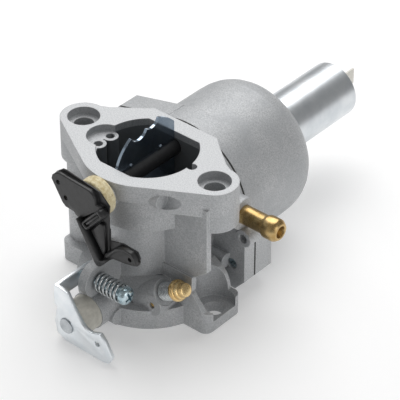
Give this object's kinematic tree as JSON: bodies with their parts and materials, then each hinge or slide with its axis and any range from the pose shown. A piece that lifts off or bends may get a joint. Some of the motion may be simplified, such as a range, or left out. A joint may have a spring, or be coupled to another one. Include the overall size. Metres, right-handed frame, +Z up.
{
  "type": "carburetor",
  "caption": "Side-draught carburetor with float bowl, fuel-cut solenoid, choke and throttle levers, idle screws and a barbed fuel inlet.",
  "frame": {"origin": "centre of the bore on the engine face, midway between the two mounting bolts", "axes": "+Z up the bore to the air-cleaner face, +X along the bolt line towards the fuel inlet, +Y towards the float bowl and solenoid"},
  "size_m": [0.0805, 0.1526, 0.0654],
  "materials": {
    "cast_aluminium": "die cast, matt",
    "plated_steel": "zinc plated",
    "spring_steel": "drawn wire",
    "brass": "turned",
    "black_plastic": "moulded",
    "foam_seal": "cut foam",
    "gasket": "matt",
    "pale_plastic": "moulded",
    "float_plastic": "moulded"
  },
  "bodies": {
    "casting": {"body": "cast_aluminium", "bowl_gasket": "gasket", "float_bowl": "cast_aluminium", "bowl_screws": "plated_steel", "solenoid_can": "plated_steel", "solenoid_washer": "brass", "solenoid_spring": "spring_steel", "solenoid_terminal": "pale_plastic", "main_nozzle": "brass", "main_jet": "brass", "float_pin": "plated_steel", "needle_seat": "brass", "pilot_jet": "brass", "inlet_tube": "brass", "choke_seal": "foam_seal", "throttle_bush": "pale_plastic", "passage_plugs": "brass", "welch_plug": "plated_steel"},
    "choke": {"choke_shaft": "black_plastic", "choke_plate": "plated_steel"},
    "throttle": {"throttle_shaft": "plated_steel", "throttle_plate": "brass", "throttle_screws": "plated_steel", "throttle_lever": "plated_steel"},
    "float_arm": {"float": "float_plastic"},
    "needle": {"float_needle": "plated_steel"},
    "plunger": {"solenoid_plunger": "plated_steel"},
    "speed_feed": {"idle_speed_spring": "spring_steel"},
    "speed_screw": {"idle_speed_screw": "plated_steel"},
    "mixture_feed": {"idle_mixture_spring": "spring_steel"},
    "mixture_screw": {"idle_mixture_screw": "brass"}
  },
  "joints": [
    {"name": "choke_turn", "type": "hinge", "parent": "casting", "child": "choke", "pos_m": [0, 0, 0.05], "axis": [0, -1, 0], "range_deg": [0, 80]},
    {"name": "throttle_turn", "type": "hinge", "parent": "casting", "child": "throttle", "pos_m": [0, 0, 0.0067], "axis": [0, -1, 0], "range_deg": [0, 76]},
    {"name": "float_swing", "type": "hinge", "parent": "casting", "child": "float_arm", "pos_m": [0.0175, 0.024, 0.0345], "axis": [0, 0, 1], "range_deg": [-9, 0]},
    {"name": "needle_lift", "type": "slide", "parent": "casting", "child": "needle", "axis": [0, 1, 0], "range_m": [0, 0.0008]},
    {"name": "plunger_lift", "type": "slide", "parent": "casting", "child": "plunger", "axis": [0, -1, 0], "range_m": [0, 0.0025]},
    {"name": "speed_advance", "type": "slide", "parent": "casting", "child": "speed_feed", "axis": [1, 0, 0], "range_m": [0, 0.0021], "deforming": ["idle_speed_spring"]},
    {"name": "speed_screw_turn", "type": "hinge", "parent": "speed_feed", "child": "speed_screw", "pos_m": [0.005, -0.027, 0.018], "axis": [-1, 0, 0], "range_deg": [-1080, 0]},
    {"name": "mixture_advance", "type": "slide", "parent": "casting", "child": "mixture_feed", "axis": [0.866, 0, 0.5], "range_m": [-0.0012, 0.0016], "deforming": ["idle_mixture_spring"]},
    {"name": "mixture_screw_turn", "type": "hinge", "parent": "mixture_feed", "child": "mixture_screw", "pos_m": [0.0184, -0.0134, 0.014], "axis": [-0.866, 0, -0.5], "range_deg": [-720, 540]}
  ],
  "couplings": [
    {"joint": "needle_lift", "follows": "float_swing", "m_per_rad": -0.0048},
    {"joint": "speed_advance", "follows": "speed_screw_turn", "m_per_rad": -0.0001114},
    {"joint": "mixture_advance", "follows": "mixture_screw_turn", "m_per_rad": -0.00012732}
  ]
}
